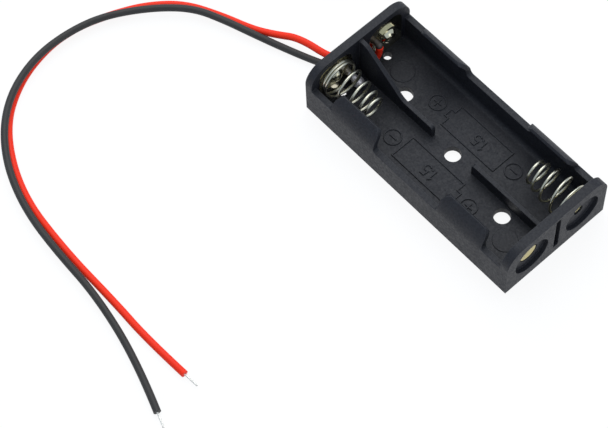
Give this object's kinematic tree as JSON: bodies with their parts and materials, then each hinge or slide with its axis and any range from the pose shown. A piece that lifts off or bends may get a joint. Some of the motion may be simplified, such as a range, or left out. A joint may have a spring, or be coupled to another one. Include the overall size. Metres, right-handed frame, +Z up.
{
  "type": "cylindrical cell holder",
  "caption": "Open moulded holder for cylindrical cells lying side by side, with snap lips, conical springs, plate contacts and two wire leads with stripped ends.",
  "frame": {"origin": "middle of the moulded body's underside", "axes": "+Z up, out of the open side; X along the cells, with the leads leaving at -X; +Y towards the bay of the red lead"},
  "size_m": [0.096, 0.0853, 0.0125],
  "materials": {
    "black_plastic": "moulded, satin, with a slight sheen",
    "plated_contact": "bright nickel plate on stamped steel",
    "spring_wire": "bright nickel-plated steel wire",
    "red_sleeve": "soft plastic sleeve, slightly glossy",
    "black_sleeve": "soft plastic sleeve, slightly glossy",
    "tinned_copper": "stranded copper, twisted and tinned",
    "solder": "shiny solder bead"
  },
  "bodies": {
    "holder": {"holder_body": "black_plastic", "positive_contact": "plated_contact", "negative_contact": "plated_contact", "bridge_contact": "plated_contact", "red_lead": "red_sleeve", "black_lead": "black_sleeve", "red_lead_tip": "tinned_copper", "black_lead_tip": "tinned_copper", "red_solder_joint": "solder", "black_solder_joint": "solder"},
    "lead_end_spring_coils": {"lead_end_spring": "spring_wire"},
    "far_end_spring_coils": {"far_end_spring": "spring_wire"}
  },
  "joints": [
    {"name": "lead_end_spring_press", "type": "slide", "parent": "holder", "child": "lead_end_spring_coils", "axis": [-1, 0, 0], "range_m": [0, 0.0072], "stiffness_N_per_m": 400, "deforming": ["lead_end_spring"]},
    {"name": "far_end_spring_press", "type": "slide", "parent": "holder", "child": "far_end_spring_coils", "axis": [1, 0, 0], "range_m": [0, 0.0072], "stiffness_N_per_m": 400, "deforming": ["far_end_spring"]}
  ]
}
